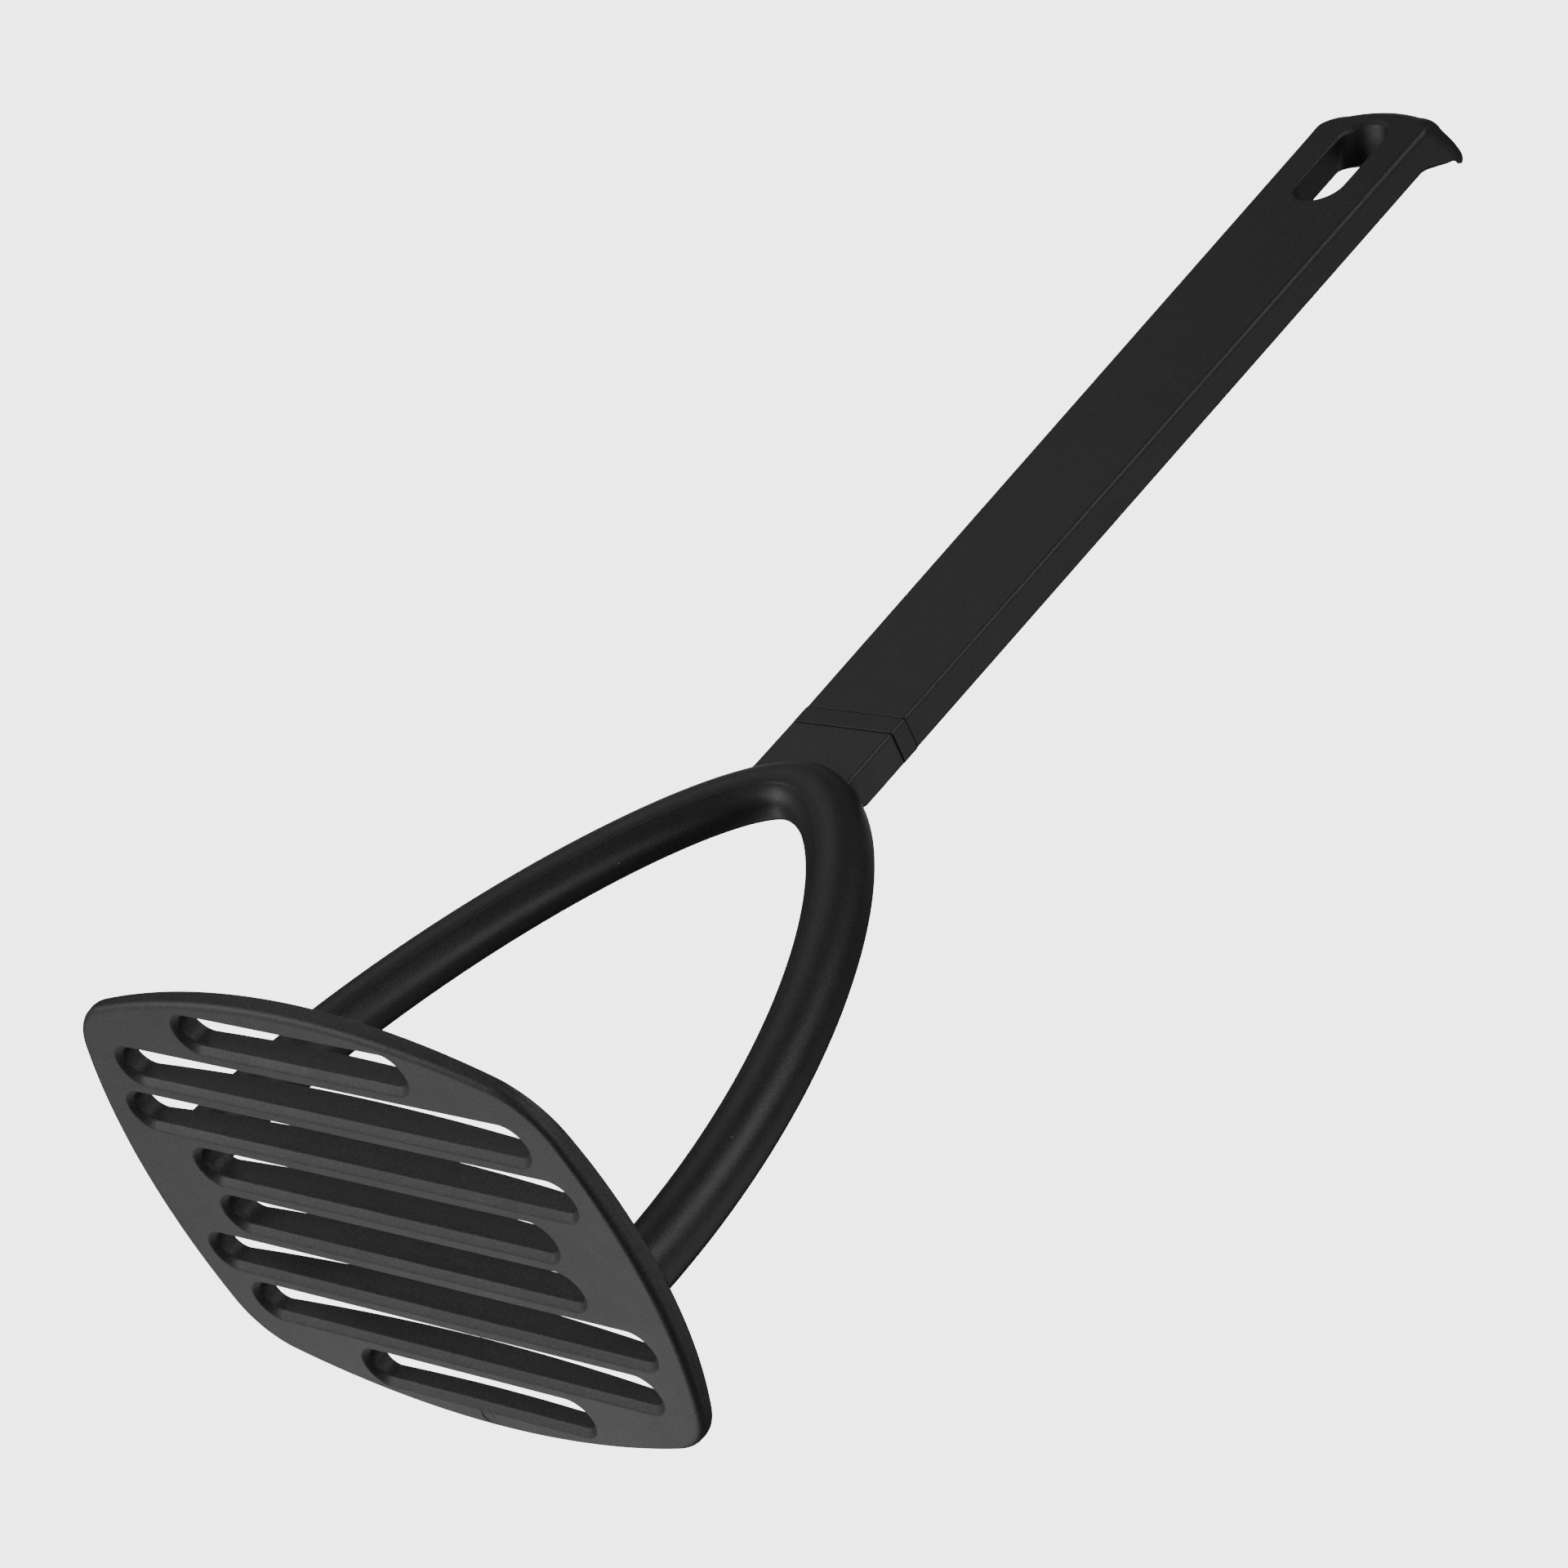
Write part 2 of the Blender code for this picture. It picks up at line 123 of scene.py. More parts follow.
def split_big_faces(mesh):
    """Split faces with more than four corners into well-shaped triangles, so that none has zero area."""
    work = bmesh.new()
    work.from_mesh(mesh)
    big = [face for face in work.faces if len(face.verts) > 4]
    bmesh.ops.triangulate(work, faces=big, quad_method="BEAUTY", ngon_method="BEAUTY")
    work.to_mesh(mesh)
    work.free()


def bake(obj, name):
    """A plain mesh object made from what an object's modifiers give. The source is removed."""
    bpy.context.view_layer.update()
    depsgraph = bpy.context.evaluated_depsgraph_get()
    mesh = bpy.data.meshes.new_from_object(obj.evaluated_get(depsgraph))
    mesh.transform(obj.matrix_world)
    bpy.data.objects.remove(obj, do_unlink=True)
    tidy_mesh(mesh)
    return link(bpy.data.objects.new(name, mesh))


def combine(target, tool, operation, keep=False):
    """One exact Boolean. The tool is used up unless it is kept."""
    step = target.modifiers.new("combine", "BOOLEAN")
    step.operation = operation
    step.solver = "EXACT"
    step.object = tool
    name = target.name
    target.name = name + "_before"
    made = bake(target, name)
    if not keep:
        bpy.data.objects.remove(tool, do_unlink=True)
    return made


def finish(obj, material, angle=30):
    """Smooth shading, with sharp edges kept and big flat faces ruling the shading beside roundings."""
    obj.data.materials.clear()
    obj.data.materials.append(material)
    obj.data.polygons.foreach_set("material_index", [0] * len(obj.data.polygons))
    obj.data.shade_smooth()
    obj.data.set_sharp_from_angle(angle=math.radians(angle))
    step = obj.modifiers.new("weighted", "WEIGHTED_NORMAL")
    step.keep_sharp = True
    step.weight = 80
    name = obj.name
    obj.name = name + "_before"
    bpy.context.view_layer.update()
    depsgraph = bpy.context.evaluated_depsgraph_get()
    mesh = bpy.data.meshes.new_from_object(obj.evaluated_get(depsgraph))
    bpy.data.objects.remove(obj, do_unlink=True)
    made = link(bpy.data.objects.new(name, mesh))
    mesh.calc_loop_triangles()
    print(name, "has", len(mesh.loop_triangles), "triangles")
    return made


# %% [markdown]
# ## The nylon
#
# Glass-filled nylon is never one flat black. The glass and the mould's spark-eroded texture give a very
# fine grain, the sheen drifts a little from place to place, a few pale specks of dust or fibre show, and
# the outer edges turn slightly grey as they rub. All of it comes from Object coordinates, so the grain is
# fixed to the piece. The Bevel node rounds the last sharp edges in the shading and finds the worn ones.


# %% A node helper and the nylon material
def add_node(tree, kind, **values):
    """Add a shader node. Keys name inputs, or the node's own settings if no input has that name."""
    node = tree.nodes.new(kind)
    for key, value in values.items():
        label = key.replace("_", " ")
        if label in node.inputs:
            node.inputs[label].default_value = value
        else:
            setattr(node, key, value)
    return node


def maths(tree, operation, first, second=None, third=None, clamp=False):
    node = tree.nodes.new("ShaderNodeMath")
    node.operation = operation
    node.use_clamp = clamp
    for socket, value in zip(node.inputs, (first, second, third)):
        if value is None:
            continue
        if isinstance(value, (int, float)):
            socket.default_value = value
        else:
            tree.links.new(value, socket)
    return node.outputs[0]


def noise(tree, where, scale, detail, roughness=0.5):
    node = add_node(tree, "ShaderNodeTexNoise", Scale=scale, Detail=detail, Roughness=roughness)
    tree.links.new(where, node.inputs["Vector"])
    return node.outputs["Fac"]


def nylon(name, base, gloss, grain, edge_radius, wear, specular):
    """Black nylon: base grey, surface roughness, grain height in mm, rounding of edges in mm."""
    mat = bpy.data.materials.new(name)
    mat.use_nodes = True
    tree = mat.node_tree
    shader = tree.nodes["Principled BSDF"]
    shader.inputs["Metallic"].default_value = 0.0
    shader.inputs["Specular IOR Level"].default_value = specular
    where = tree.nodes.new("ShaderNodeTexCoord").outputs["Object"]

    drift = noise(tree, where, 45.0, 3.0)
    cloud = noise(tree, where, 260.0, 3.0)
    fine = noise(tree, where, 2600.0, 2.0, 0.6)
    pores = noise(tree, where, 5200.0, 1.0)

    rounded = add_node(tree, "ShaderNodeBevel", Radius=edge_radius * MM)
    rounded.samples = 6
    plain = tree.nodes.new("ShaderNodeNewGeometry").outputs["Normal"]
    facing = tree.nodes.new("ShaderNodeVectorMath")
    facing.operation = "DOT_PRODUCT"
    tree.links.new(rounded.outputs["Normal"], facing.inputs[0])
    tree.links.new(plain, facing.inputs[1])
    turned = maths(tree, "SUBTRACT", 1.0, facing.outputs["Value"])
    rubbed = maths(tree, "MULTIPLY", maths(tree, "SMOOTH_MIN", turned, 0.2, 0.1), wear)
    rubbed = maths(tree, "MULTIPLY", rubbed, maths(tree, "ADD", cloud, 0.35), clamp=True)

    cells = add_node(tree, "ShaderNodeTexVoronoi", Scale=330.0)
    tree.links.new(where, cells.inputs["Vector"])
    parts = tree.nodes.new("ShaderNodeSeparateColor")
    tree.links.new(cells.outputs["Color"], parts.inputs["Color"])
    chosen = maths(tree, "GREATER_THAN", parts.outputs["Red"], 0.93)
    near = maths(tree, "LESS_THAN", cells.outputs["Distance"], 0.055)
    speck = maths(tree, "MULTIPLY", chosen, near)

    tone = maths(tree, "MULTIPLY_ADD", drift, 0.30, 0.85)
    tone = maths(tree, "MULTIPLY", tone, maths(tree, "MULTIPLY_ADD", cloud, 0.24, 0.88))
    tone = maths(tree, "MULTIPLY", tone, maths(tree, "MULTIPLY_ADD", fine, 2.2, -0.1))
    value = maths(tree, "MULTIPLY", tone, base)
    value = maths(tree, "ADD", value, maths(tree, "MULTIPLY", rubbed, 0.05))
    value = maths(tree, "ADD", value, maths(tree, "MULTIPLY", speck, 0.10))
    colour = tree.nodes.new("ShaderNodeCombineColor")
    for channel in ("Red", "Green", "Blue"):
        tree.links.new(value, colour.inputs[channel])
    tree.links.new(colour.outputs["Color"], shader.inputs["Base Color"])

    rough = maths(tree, "MULTIPLY_ADD", drift, 0.10, gloss - 0.09)
    rough = maths(tree, "ADD", rough, maths(tree, "MULTIPLY", cloud, 0.08))
    tree.links.new(rough, shader.inputs["Roughness"])

    relief = maths(tree, "ADD", maths(tree, "MULTIPLY", fine, 0.7), maths(tree, "MULTIPLY", pores, 0.3))
    bump = add_node(tree, "ShaderNodeBump", Strength=1.0, Distance=grain * MM)
    tree.links.new(relief, bump.inputs["Height"])
    tree.links.new(rounded.outputs["Normal"], bump.inputs["Normal"])
    tree.links.new(bump.outputs["Normal"], shader.inputs["Normal"])
    print(name, "base", base, "roughness about", gloss)
    return mat


plate_nylon = nylon("plate_nylon", 0.026, 0.52, 0.050, 0.25, 1.0, 0.5)
yoke_nylon = nylon("yoke_nylon", 0.014, 0.47, 0.034, 0.45, 0.6, 0.5)
handle_nylon = nylon("handle_nylon", 0.013, 0.50, 0.036, 0.30, 1.0, 0.5)

# %% [markdown]
# ## The pressing plate
#
# The plate is a rounded rectangle whose four sides bulge a little. Its working face is flat, its rim is
# well rounded, and its back is crowned: thickest in the middle, where the pressing force is greatest.
# The body is a loft of the outline. Rings climb round the rim and then shrink towards the centre while
# they follow the crown. A thin ridge round the rim is the parting line of the mould.

# %% Plate sizes and outline
PLATE_HALF_X = 50.0
PLATE_HALF_Y = 38.6
LONG_SIDE_RADIUS = 134.0
SHORT_SIDE_RADIUS = 86.0
PLATE_CORNER_RADIUS = 12.5
RIM_HEIGHT = 3.1
CROWN_RISE = 2.4
CROWN_POWER_X = 1.9
CROWN_POWER_Y = 2.4
RIM_ROUND = 1.1
RIM_BACK_ROUND = 0.3


def arc(centre, radius, start, end, count):
    """Points on an arc whose angles are measured from +Y towards +X."""
    angles = np.linspace(start, end, count + 1)
    return [(centre[0] + radius * math.sin(a), centre[1] + radius * math.cos(a)) for a in angles]


def plate_outline(inset):
    """The plate's outline moved inwards. Every inset gives the same number of points."""
    long_centre = (0.0, PLATE_HALF_Y - LONG_SIDE_RADIUS)
    short_centre = (PLATE_HALF_X - SHORT_SIDE_RADIUS, 0.0)
    near = LONG_SIDE_RADIUS - PLATE_CORNER_RADIUS
    far = SHORT_SIDE_RADIUS - PLATE_CORNER_RADIUS
    apart = math.dist(long_centre, short_centre)
    along = (near ** 2 - far ** 2 + apart ** 2) / (2 * apart)
    across = math.sqrt(near ** 2 - along ** 2)
    step = ((short_centre[0] - long_centre[0]) / apart, (short_centre[1] - long_centre[1]) / apart)
    corner = (long_centre[0] + step[0] * along - step[1] * across,
              long_centre[1] + step[1] * along + step[0] * across)
    if corner[0] < 0 or corner[1] < 0:
        corner = (long_centre[0] + step[0] * along + step[1] * across,
                  long_centre[1] + step[1] * along - step[0] * across)
    long_end = math.atan2(corner[0] - long_centre[0], corner[1] - long_centre[1])
    short_end = math.atan2(corner[0] - short_centre[0], corner[1] - short_centre[1])
    quarter = arc(long_centre, LONG_SIDE_RADIUS - inset, 0.0, long_end, 20)
    quarter += arc(corner, PLATE_CORNER_RADIUS - inset, long_end, short_end, 22)[1:]
    quarter += arc(short_centre, SHORT_SIDE_RADIUS - inset, short_end, math.pi / 2, 16)[1:]
    right = quarter + [(x, -y) for x, y in reversed(quarter[:-1])]
    return right + [(-x, y) for x, y in reversed(right[1:-1])]


def crown_height(x, y):
    """Height of the plate's back above the working face."""
    fall_x = abs(x / PLATE_HALF_X) ** CROWN_POWER_X
    fall_y = abs(y / PLATE_HALF_Y) ** CROWN_POWER_Y
    return RIM_HEIGHT + CROWN_RISE * (1 - fall_x - fall_y)


print("plate outline points:", len(plate_outline(0.0)))
print("thickness at centre and at a corner:", crown_height(0, 0), round(crown_height(41, 30), 2))

# %% Loft the plate body
PARTING_Z = 1.75
PARTING_PROUD = 0.05
PARTING_HALF = 0.12

rings = []
for angle in np.linspace(0, math.pi / 2, 9):
    inset = RIM_ROUND * (1 - math.sin(angle))
    height = RIM_ROUND * (1 - math.cos(angle))
    rings.append([(x, y, height) for x, y in plate_outline(inset)])
parting_ridge = (
    (PARTING_Z - PARTING_HALF, 0.0), (PARTING_Z, -PARTING_PROUD), (PARTING_Z + PARTING_HALF, 0.0))
for height, inset in parting_ridge:
    rings.append([(x, y, height) for x, y in plate_outline(inset)])
edge = plate_outline(0.0)
for angle in np.linspace(0, math.pi / 2, 6):
    inset = RIM_BACK_ROUND * (1 - math.cos(angle))
    drop = RIM_BACK_ROUND * (1 - math.sin(angle))
    rings.append([(x, y, crown_height(ex, ey) - drop)
                  for (x, y), (ex, ey) in zip(plate_outline(inset), edge)])
inner = plate_outline(RIM_BACK_ROUND)
for scale in np.linspace(0.965, 0.02, 26):
    rings.append([(x * scale, y * scale, crown_height(x * scale, y * scale)) for x, y in inner])
plate = loft("masher_plate", rings)
print("plate body corners:", len(plate.data.vertices))

# %% [markdown]
# ## The slots
#
# Eight slots run side by side. They share one shape and one pitch and differ only in length, so they
# are a good job for Geometry Nodes. One round cutter is turned from a profile: a wide mouth, a chamfer
# and a straight wall that narrows slightly upwards, as the mould's draft needs. The tree puts a cutter on
# each row, then pulls its two halves apart along X until the slot has its length. The last step keeps the
# cutters inside an outer limit, which shaves the chamfer's very edge off the two end slots and leaves
# the rim beside them a little wider. One Boolean then cuts all eight.

# %% Turn the round cutter
SLOT_COUNT = 8
MIDDLE_ROW = (SLOT_COUNT - 1) / 2
SLOT_PITCH = 9.05
SLOT_WIDTH = 5.45
SLOT_CHAMFER = 1.0
SLOT_DRAFT = 0.045
SLOT_HALF_LENGTHS = (34.6, 42.9, 39.3, 21.8)
END_SLOT_CHAMFER = 0.95
CUTTER_TOP = 9.0


def turned(name, profile, steps):
    """A closed turned shape from (radius, height) pairs, with no corner on the plane x = 0."""
    turns = [(i + 0.5) / steps * 2 * math.pi for i in range(steps)]
    return loft(name, [[(r * math.cos(t), r * math.sin(t), z) for t in turns] for r, z in profile])


slot_half = SLOT_WIDTH / 2
mouth = slot_half + SLOT_CHAMFER
slot_profile = [
    (mouth + 0.30, -2.0), (mouth + 0.30, -0.004), (mouth + 0.12, 0.02), (mouth - 0.02, 0.09),
    (mouth - 0.12, 0.17), (slot_half + 0.16, 0.80), (slot_half + 0.06, 0.92), (slot_half + 0.01, 1.06),
    (slot_half, 1.25), (slot_half - SLOT_DRAFT * (CUTTER_TOP - 1.25), CUTTER_TOP),
]
cutter = turned("slot_cutter", slot_profile, 48)
print("cutter mouth", round(2 * mouth, 2), "mm wide, clear width", SLOT_WIDTH, "mm")


# %% Build the slot tree
def new_tree(name, sockets):
    """A Geometry Nodes tree with named inputs after the geometry."""
    tree = bpy.data.node_groups.new(name, "GeometryNodeTree")
    tree.interface.new_socket("Geometry", in_out="INPUT", socket_type="NodeSocketGeometry")
    for label, kind in sockets:
        tree.interface.new_socket(label, in_out="INPUT", socket_type=kind)
    tree.interface.new_socket("Geometry", in_out="OUTPUT", socket_type="NodeSocketGeometry")
    return tree


def geo(tree, kind, links=(), **settings):
    """Add a geometry node. links holds (input name or number, output socket or value)."""
    node = tree.nodes.new(kind)
    for key, value in settings.items():
        setattr(node, key, value)
    for key, value in links:
        if isinstance(value, bpy.types.NodeSocket):
            tree.links.new(value, node.inputs[key])
        else:
            node.inputs[key].default_value = value
    return node


def geo_maths(tree, operation, *values):
    links = list(enumerate(values))
    return geo(tree, "ShaderNodeMath", links, operation=operation).outputs[0]


def end_tree(tree, geometry, material):
    """Every tree here ends the same way: real geometry with its material set."""
    real = geo(tree, "GeometryNodeRealizeInstances", [("Geometry", geometry)])
    painted = geo(tree, "GeometryNodeSetMaterial",
                  [("Geometry", real.outputs["Geometry"]), ("Material", material)])
    out = geo(tree, "NodeGroupOutput")
    tree.links.new(painted.outputs["Geometry"], out.inputs["Geometry"])


def add_tree(obj, tree, values):
    """Put a tree on an object and set its inputs by their socket identifiers."""
    step = obj.modifiers.new(tree.name, "NODES")
    step.node_group = tree
    for item in tree.interface.items_tree:
        if item.item_type == "SOCKET" and item.in_out == "INPUT" and item.name in values:
            step[item.identifier] = values[item.name]
    return step


slot_tree = new_tree("slot_rows", [
    ("Pitch", "NodeSocketFloat"), ("Reach 1", "NodeSocketFloat"), ("Reach 2", "NodeSocketFloat"),
    ("Reach 3", "NodeSocketFloat"), ("Reach 4", "NodeSocketFloat"), ("Outer Limit", "NodeSocketFloat"),
    ("Material", "NodeSocketMaterial")])
given = geo(slot_tree, "NodeGroupInput").outputs
first_row = geo_maths(slot_tree, "MULTIPLY", given["Pitch"], -MIDDLE_ROW)
start = geo(slot_tree, "ShaderNodeCombineXYZ", [("Y", first_row)])
stride = geo(slot_tree, "ShaderNodeCombineXYZ", [("Y", given["Pitch"])])
rows = geo(slot_tree, "GeometryNodeMeshLine",
           [("Count", SLOT_COUNT), ("Start Location", start.outputs[0]), ("Offset", stride.outputs[0])])
number = geo(slot_tree, "GeometryNodeInputIndex").outputs[0]
outward = geo_maths(slot_tree, "ABSOLUTE", geo_maths(slot_tree, "SUBTRACT", number, MIDDLE_ROW))
rank = geo_maths(slot_tree, "SUBTRACT", outward, 0.5)
pick = geo(slot_tree, "GeometryNodeIndexSwitch", data_type="FLOAT")
for _ in range(2):
    pick.index_switch_items.new()
slot_tree.links.new(rank, pick.inputs["Index"])
for i in range(4):
    slot_tree.links.new(given[f"Reach {i + 1}"], pick.inputs[str(i)])
marked = geo(slot_tree, "GeometryNodeStoreNamedAttribute",
             [("Geometry", rows.outputs["Mesh"]), ("Name", "reach"), ("Value", pick.outputs[0])],
             data_type="FLOAT", domain="POINT")
placed = geo(slot_tree, "GeometryNodeInstanceOnPoints",
             [("Points", marked.outputs[0]), ("Instance", given["Geometry"])])
loose = geo(slot_tree, "GeometryNodeRealizeInstances", [("Geometry", placed.outputs[0])])
spot = geo(slot_tree, "GeometryNodeInputPosition").outputs[0]
spot_parts = geo(slot_tree, "ShaderNodeSeparateXYZ", [(0, spot)])
reach = geo(slot_tree, "GeometryNodeInputNamedAttribute", [("Name", "reach")], data_type="FLOAT").outputs[0]
pull = geo_maths(slot_tree, "MULTIPLY", geo_maths(slot_tree, "SIGN", spot_parts.outputs["X"]), reach)
new_x = geo_maths(slot_tree, "ADD", spot_parts.outputs["X"], pull)
capped = geo_maths(slot_tree, "MINIMUM", spot_parts.outputs["Y"], given["Outer Limit"])
limit_low = geo_maths(slot_tree, "MULTIPLY", given["Outer Limit"], -1.0)
new_y = geo_maths(slot_tree, "MAXIMUM", capped, limit_low)
new_spot = geo(slot_tree, "ShaderNodeCombineXYZ",
               [("X", new_x), ("Y", new_y), ("Z", spot_parts.outputs["Z"])])
moved = geo(slot_tree, "GeometryNodeSetPosition",
            [("Geometry", loose.outputs[0]), ("Position", new_spot.outputs[0])])
end_tree(slot_tree, moved.outputs[0], given["Material"])

outer_limit = MIDDLE_ROW * SLOT_PITCH + slot_half + END_SLOT_CHAMFER
values = {"Pitch": SLOT_PITCH * MM, "Outer Limit": outer_limit * MM, "Material": plate_nylon}
for i, half_length in enumerate(SLOT_HALF_LENGTHS):
    values[f"Reach {i + 1}"] = (half_length - slot_half) * MM
add_tree(cutter, slot_tree, values)
cutters = bake(cutter, "slot_cutters")
span = [v.co.x / MM for v in cutters.data.vertices]
print("longest slot mouth:", round(max(span) - min(span), 2), "mm")

# %% [markdown]
# A gate mark is the small round scar where the plastic flowed into the mould. It sits on the centre
# line between the last slot and the rim, so a very shallow disc is cut there too.

# %% Cut the plate
GATE_Y = 36.25
GATE_PROFILE = [(1.5, -1.0), (1.5, 0.02), (1.35, 0.10), (0.9, 0.10), (0.8, 0.05), (0.3, 0.05)]

plate = combine(plate, cutters, "DIFFERENCE")
gate = turned("gate_mark", GATE_PROFILE, 24)
gate.data.transform(Matrix.Translation((0.0, GATE_Y * MM, 0.0)))
plate = combine(plate, gate, "DIFFERENCE")
plate = finish(plate, plate_nylon)
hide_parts("press_plate")
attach(plate, "root")

# %% [markdown]
# ## The yoke
#
# The yoke is a wishbone: a D-shaped section swept along an arch that stands on both ends of the plate.
# It follows one rule along one path, so Geometry Nodes sweep it. The section grows towards the crown, most
# of all in width, because the path's radius swells it and the tree then thins it from front to back. The
# crown also leans back a little. Thinning and leaning come after the sweep, so the path can stay flat.
# A fine ridge in the section becomes the parting line near the inner edge of both legs.

# %% Yoke sizes, section and path
FOOT_X = 45.0
LEG_HANDLE = (46.5, 47.7)
CROWN_Z = 97.4
CROWN_HANDLE_X = 16.8
LEG_WIDTH = 9.9
CROWN_SWELL = 1.23
CROWN_SLIM = 0.89
CROWN_LEAN = 2.45
LEG_FRONT_Y = -3.7
LEG_BACK_Y = 3.4
LEG_BACK_ROUND = 1.9
LEG_SHOULDER_Y = 0.9
RIDGE_AT = -0.45
RIDGE_HEIGHT = 0.10


def leg_section():
    """(across the leg, front to back) points of the section, in millimetres."""
    half = LEG_WIDTH / 2
    points = []
    for angle in np.linspace(0, math.pi, 41):
        across = half * math.cos(angle)
        depth = LEG_SHOULDER_Y - (LEG_SHOULDER_Y - LEG_FRONT_Y) * math.sin(angle) ** 0.92
        points.append((across, depth))
    for side in (-1, 1):
        turns = np.linspace(0, math.pi / 2, 8) if side < 0 else np.linspace(math.pi / 2, 0, 8)
        for angle in turns:
            points.append((side * (half - LEG_BACK_ROUND * (1 - math.cos(angle))),
                           LEG_BACK_Y - LEG_BACK_ROUND * (1 - math.sin(angle))))
    return points


def add_ridge(points, at, height, width=0.22):
    """Put a small three-point ridge on the front of the section."""
    made = []
    for i, (across, depth) in enumerate(points[:-1]):
        made.append((across, depth))
        following = points[i + 1]
        if depth < LEG_SHOULDER_Y and (across - at) * (following[0] - at) < 0:
            share = (across - at) / (across - following[0])
            middle = depth + (following[1] - depth) * share
            slope = (following[1] - depth) / (following[0] - across)
            made.append((at + width / 2, middle + slope * width / 2))
            made.append((at, middle - height))
            made.append((at - width / 2, middle - slope * width / 2))
    made.append(points[-1])
    return made


section = add_ridge(leg_section(), RIDGE_AT * LEG_WIDTH / 2, RIDGE_HEIGHT)
profile_data = bpy.data.curves.new("leg_section", "CURVE")
profile_data.dimensions = "2D"
line = profile_data.splines.new("POLY")
line.points.add(len(section) - 1)
for point, (across, depth) in zip(line.points, section):
    point.co = (depth * MM, across * MM, 0.0, 1.0)
line.use_cyclic_u = True
profile = link(bpy.data.objects.new("leg_section", profile_data))

path_data = bpy.data.curves.new("wishbone_path", "CURVE")
path_data.dimensions = "3D"
path_data.twist_mode = "MINIMUM"
path_data.resolution_u = 60
spline = path_data.splines.new("BEZIER")
spline.bezier_points.add(2)
knots = (
    ((-FOOT_X, 0.0), (-FOOT_X, -20.0), (-LEG_HANDLE[0], LEG_HANDLE[1]), 1.0),
    ((0.0, CROWN_Z), (-CROWN_HANDLE_X, CROWN_Z), (CROWN_HANDLE_X, CROWN_Z), CROWN_SWELL),
    ((FOOT_X, 0.0), (LEG_HANDLE[0], LEG_HANDLE[1]), (FOOT_X, -20.0), 1.0),
)
for knot, (place, before, after, swell) in zip(spline.bezier_points, knots):
    knot.radius = swell
    knot.handle_left_type = "FREE"
    knot.handle_right_type = "FREE"
    knot.co = (place[0] * MM, 0.0, place[1] * MM)
    knot.handle_left = (before[0] * MM, 0.0, before[1] * MM)
    knot.handle_right = (after[0] * MM, 0.0, after[1] * MM)
path = link(bpy.data.objects.new("wishbone_path", path_data))
print("section points:", len(section))

# %% Sweep the arch with Geometry Nodes
arch_tree = new_tree("wishbone", [
    ("Section", "NodeSocketObject"), ("Crown Height", "NodeSocketFloat"), ("Lean", "NodeSocketFloat"),
    ("Slim", "NodeSocketFloat"), ("Middle", "NodeSocketFloat"), ("Material", "NodeSocketMaterial")])
given = geo(arch_tree, "NodeGroupInput").outputs
shape = geo(arch_tree, "GeometryNodeObjectInfo", [("Object", given["Section"])])
swept = geo(arch_tree, "GeometryNodeCurveToMesh",
            [("Curve", given["Geometry"]), ("Profile Curve", shape.outputs["Geometry"]), ("Fill Caps", True)])
spot = geo(arch_tree, "GeometryNodeInputPosition").outputs[0]
spot_parts = geo(arch_tree, "ShaderNodeSeparateXYZ", [(0, spot)])
climb = geo_maths(arch_tree, "DIVIDE", spot_parts.outputs["Z"], given["Crown Height"])
share = geo(arch_tree, "ShaderNodeClamp", [("Value", climb)]).outputs[0]
thin = geo_maths(arch_tree, "MULTIPLY", share, geo_maths(arch_tree, "SUBTRACT", given["Slim"], 1.0))
factor = geo_maths(arch_tree, "ADD", thin, 1.0)
away = geo_maths(arch_tree, "SUBTRACT", spot_parts.outputs["Y"], given["Middle"])
pressed = geo_maths(arch_tree, "ADD", given["Middle"], geo_maths(arch_tree, "MULTIPLY", away, factor))
leaned = geo_maths(arch_tree, "ADD", pressed, geo_maths(arch_tree, "MULTIPLY", share, given["Lean"]))
new_spot = geo(arch_tree, "ShaderNodeCombineXYZ",
               [("X", spot_parts.outputs["X"]), ("Y", leaned), ("Z", spot_parts.outputs["Z"])])
moved = geo(arch_tree, "GeometryNodeSetPosition",
            [("Geometry", swept.outputs[0]), ("Position", new_spot.outputs[0])])
end_tree(arch_tree, moved.outputs[0], given["Material"])
add_tree(path, arch_tree, {
    "Section": profile, "Crown Height": CROWN_Z * MM, "Lean": CROWN_LEAN * MM, "Slim": CROWN_SLIM,
    "Middle": (LEG_FRONT_Y + LEG_BACK_Y) / 2 * MM, "Material": yoke_nylon})
yoke = bake(path, "masher_yoke")
bpy.data.objects.remove(profile, do_unlink=True)
low = [min(v.co[i] for v in yoke.data.vertices) / MM for i in range(3)]
high = [max(v.co[i] for v in yoke.data.vertices) / MM for i in range(3)]
print("arch from", [round(v, 2) for v in low], "to", [round(v, 2) for v in high])

# %% [markdown]
# The feet are trimmed to the plate's crowned back. They sink a hair into it, so no light shows
# underneath. The neck is a flat bar that grows out of the crown of the arch and widens where it meets it.
# A thinner core runs on from the neck through the collar into the handle and holds the three together.

# %% Trim the feet and add the neck and core
BAR_Y = 4.1
BAR_LEAN = 1.25
NECK_WIDTH = 19.6
NECK_FLARE = 1.5
NECK_DEPTH = 5.8
NECK_BOTTOM = 96.0
NECK_TUCK = 3.6
ROOT_HEIGHT = 4.5
NECK_TOP = 110.2
SEAM = 0.17
COLLAR_HEIGHT = 3.55
SEAM_EDGE = 0.06
CORE_INSET = 0.55
CORE_BOTTOM = 103.0
CORE_TOP = 122.0
FOOT_SINK = 0.25


